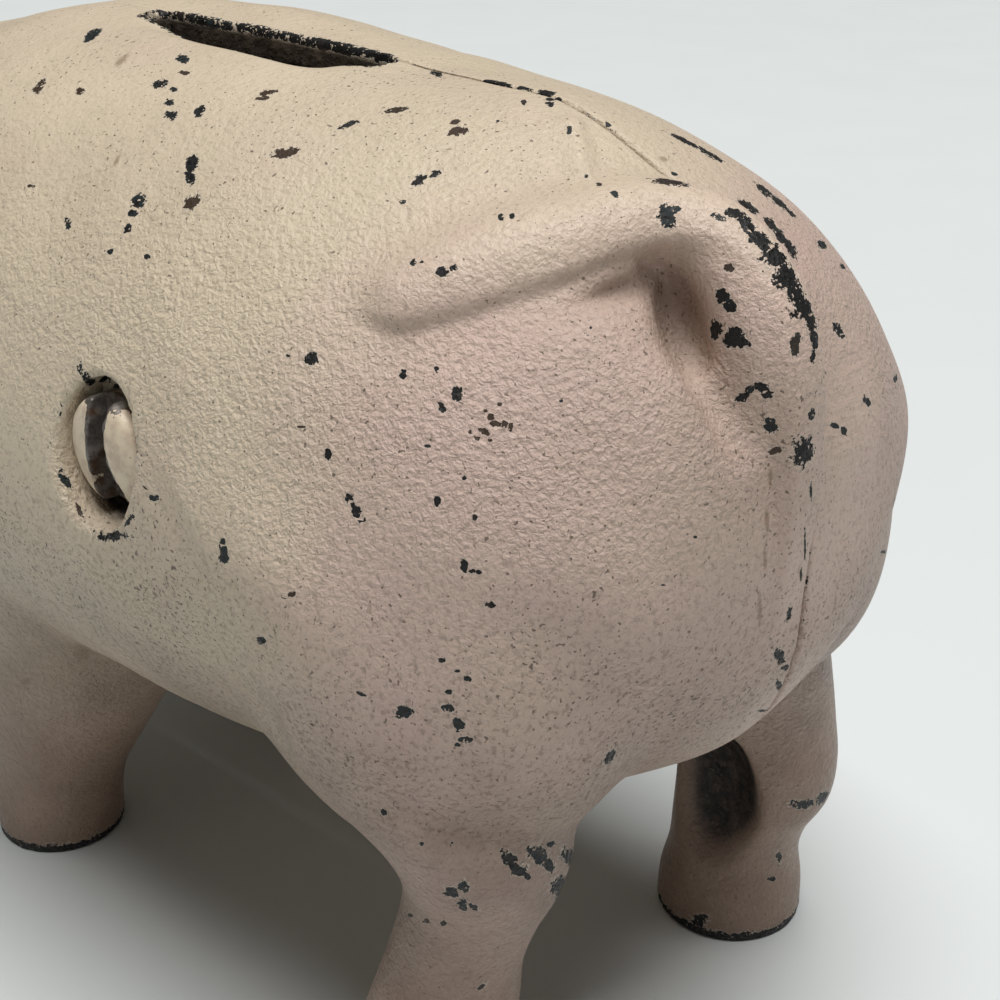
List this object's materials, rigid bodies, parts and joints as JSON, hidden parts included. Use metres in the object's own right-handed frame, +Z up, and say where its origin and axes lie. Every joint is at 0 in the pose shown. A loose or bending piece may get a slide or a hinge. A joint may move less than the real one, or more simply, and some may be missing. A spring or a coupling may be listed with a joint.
{
  "type": "pig figurine",
  "caption": "Hollow cast-iron pig money bank: two painted half castings with a coin slot along the back, held by one slotted screw and a square nut.",
  "frame": {"origin": "on the ground under the middle of the pig, on the parting plane, midway from snout to rump", "axes": "+X towards the tail, +Y towards the pig's right side, +Z up"},
  "size_m": [0.14, 0.072, 0.0929],
  "materials": {
    "painted_iron": "chipped satin paint over black iron",
    "screw_steel": "dull, dark"
  },
  "bodies": {
    "left_casting": {"left_half": "painted_iron"},
    "right_casting": {"right_half": "painted_iron"},
    "screw": {"through_screw": "screw_steel"},
    "nut": {"square_nut": "screw_steel"}
  },
  "joints": [
    {"name": "screw_turn", "type": "hinge", "parent": "left_casting", "child": "screw", "pos_m": [0.0215, 0, 0.0646], "axis": [0, -1, 0], "range_deg": [0, 1800]},
    {"name": "half_lift_off", "type": "slide", "parent": "left_casting", "child": "right_casting", "axis": [0, 1, 0], "range_m": [0, 0.075]},
    {"name": "nut_travel", "type": "slide", "parent": "right_casting", "child": "nut", "axis": [0, 1, 0], "range_m": [0, 0.0067]}
  ],
  "couplings": [
    {"joint": "nut_travel", "follows": "screw_turn", "m_per_rad": 0.00020213}
  ]
}
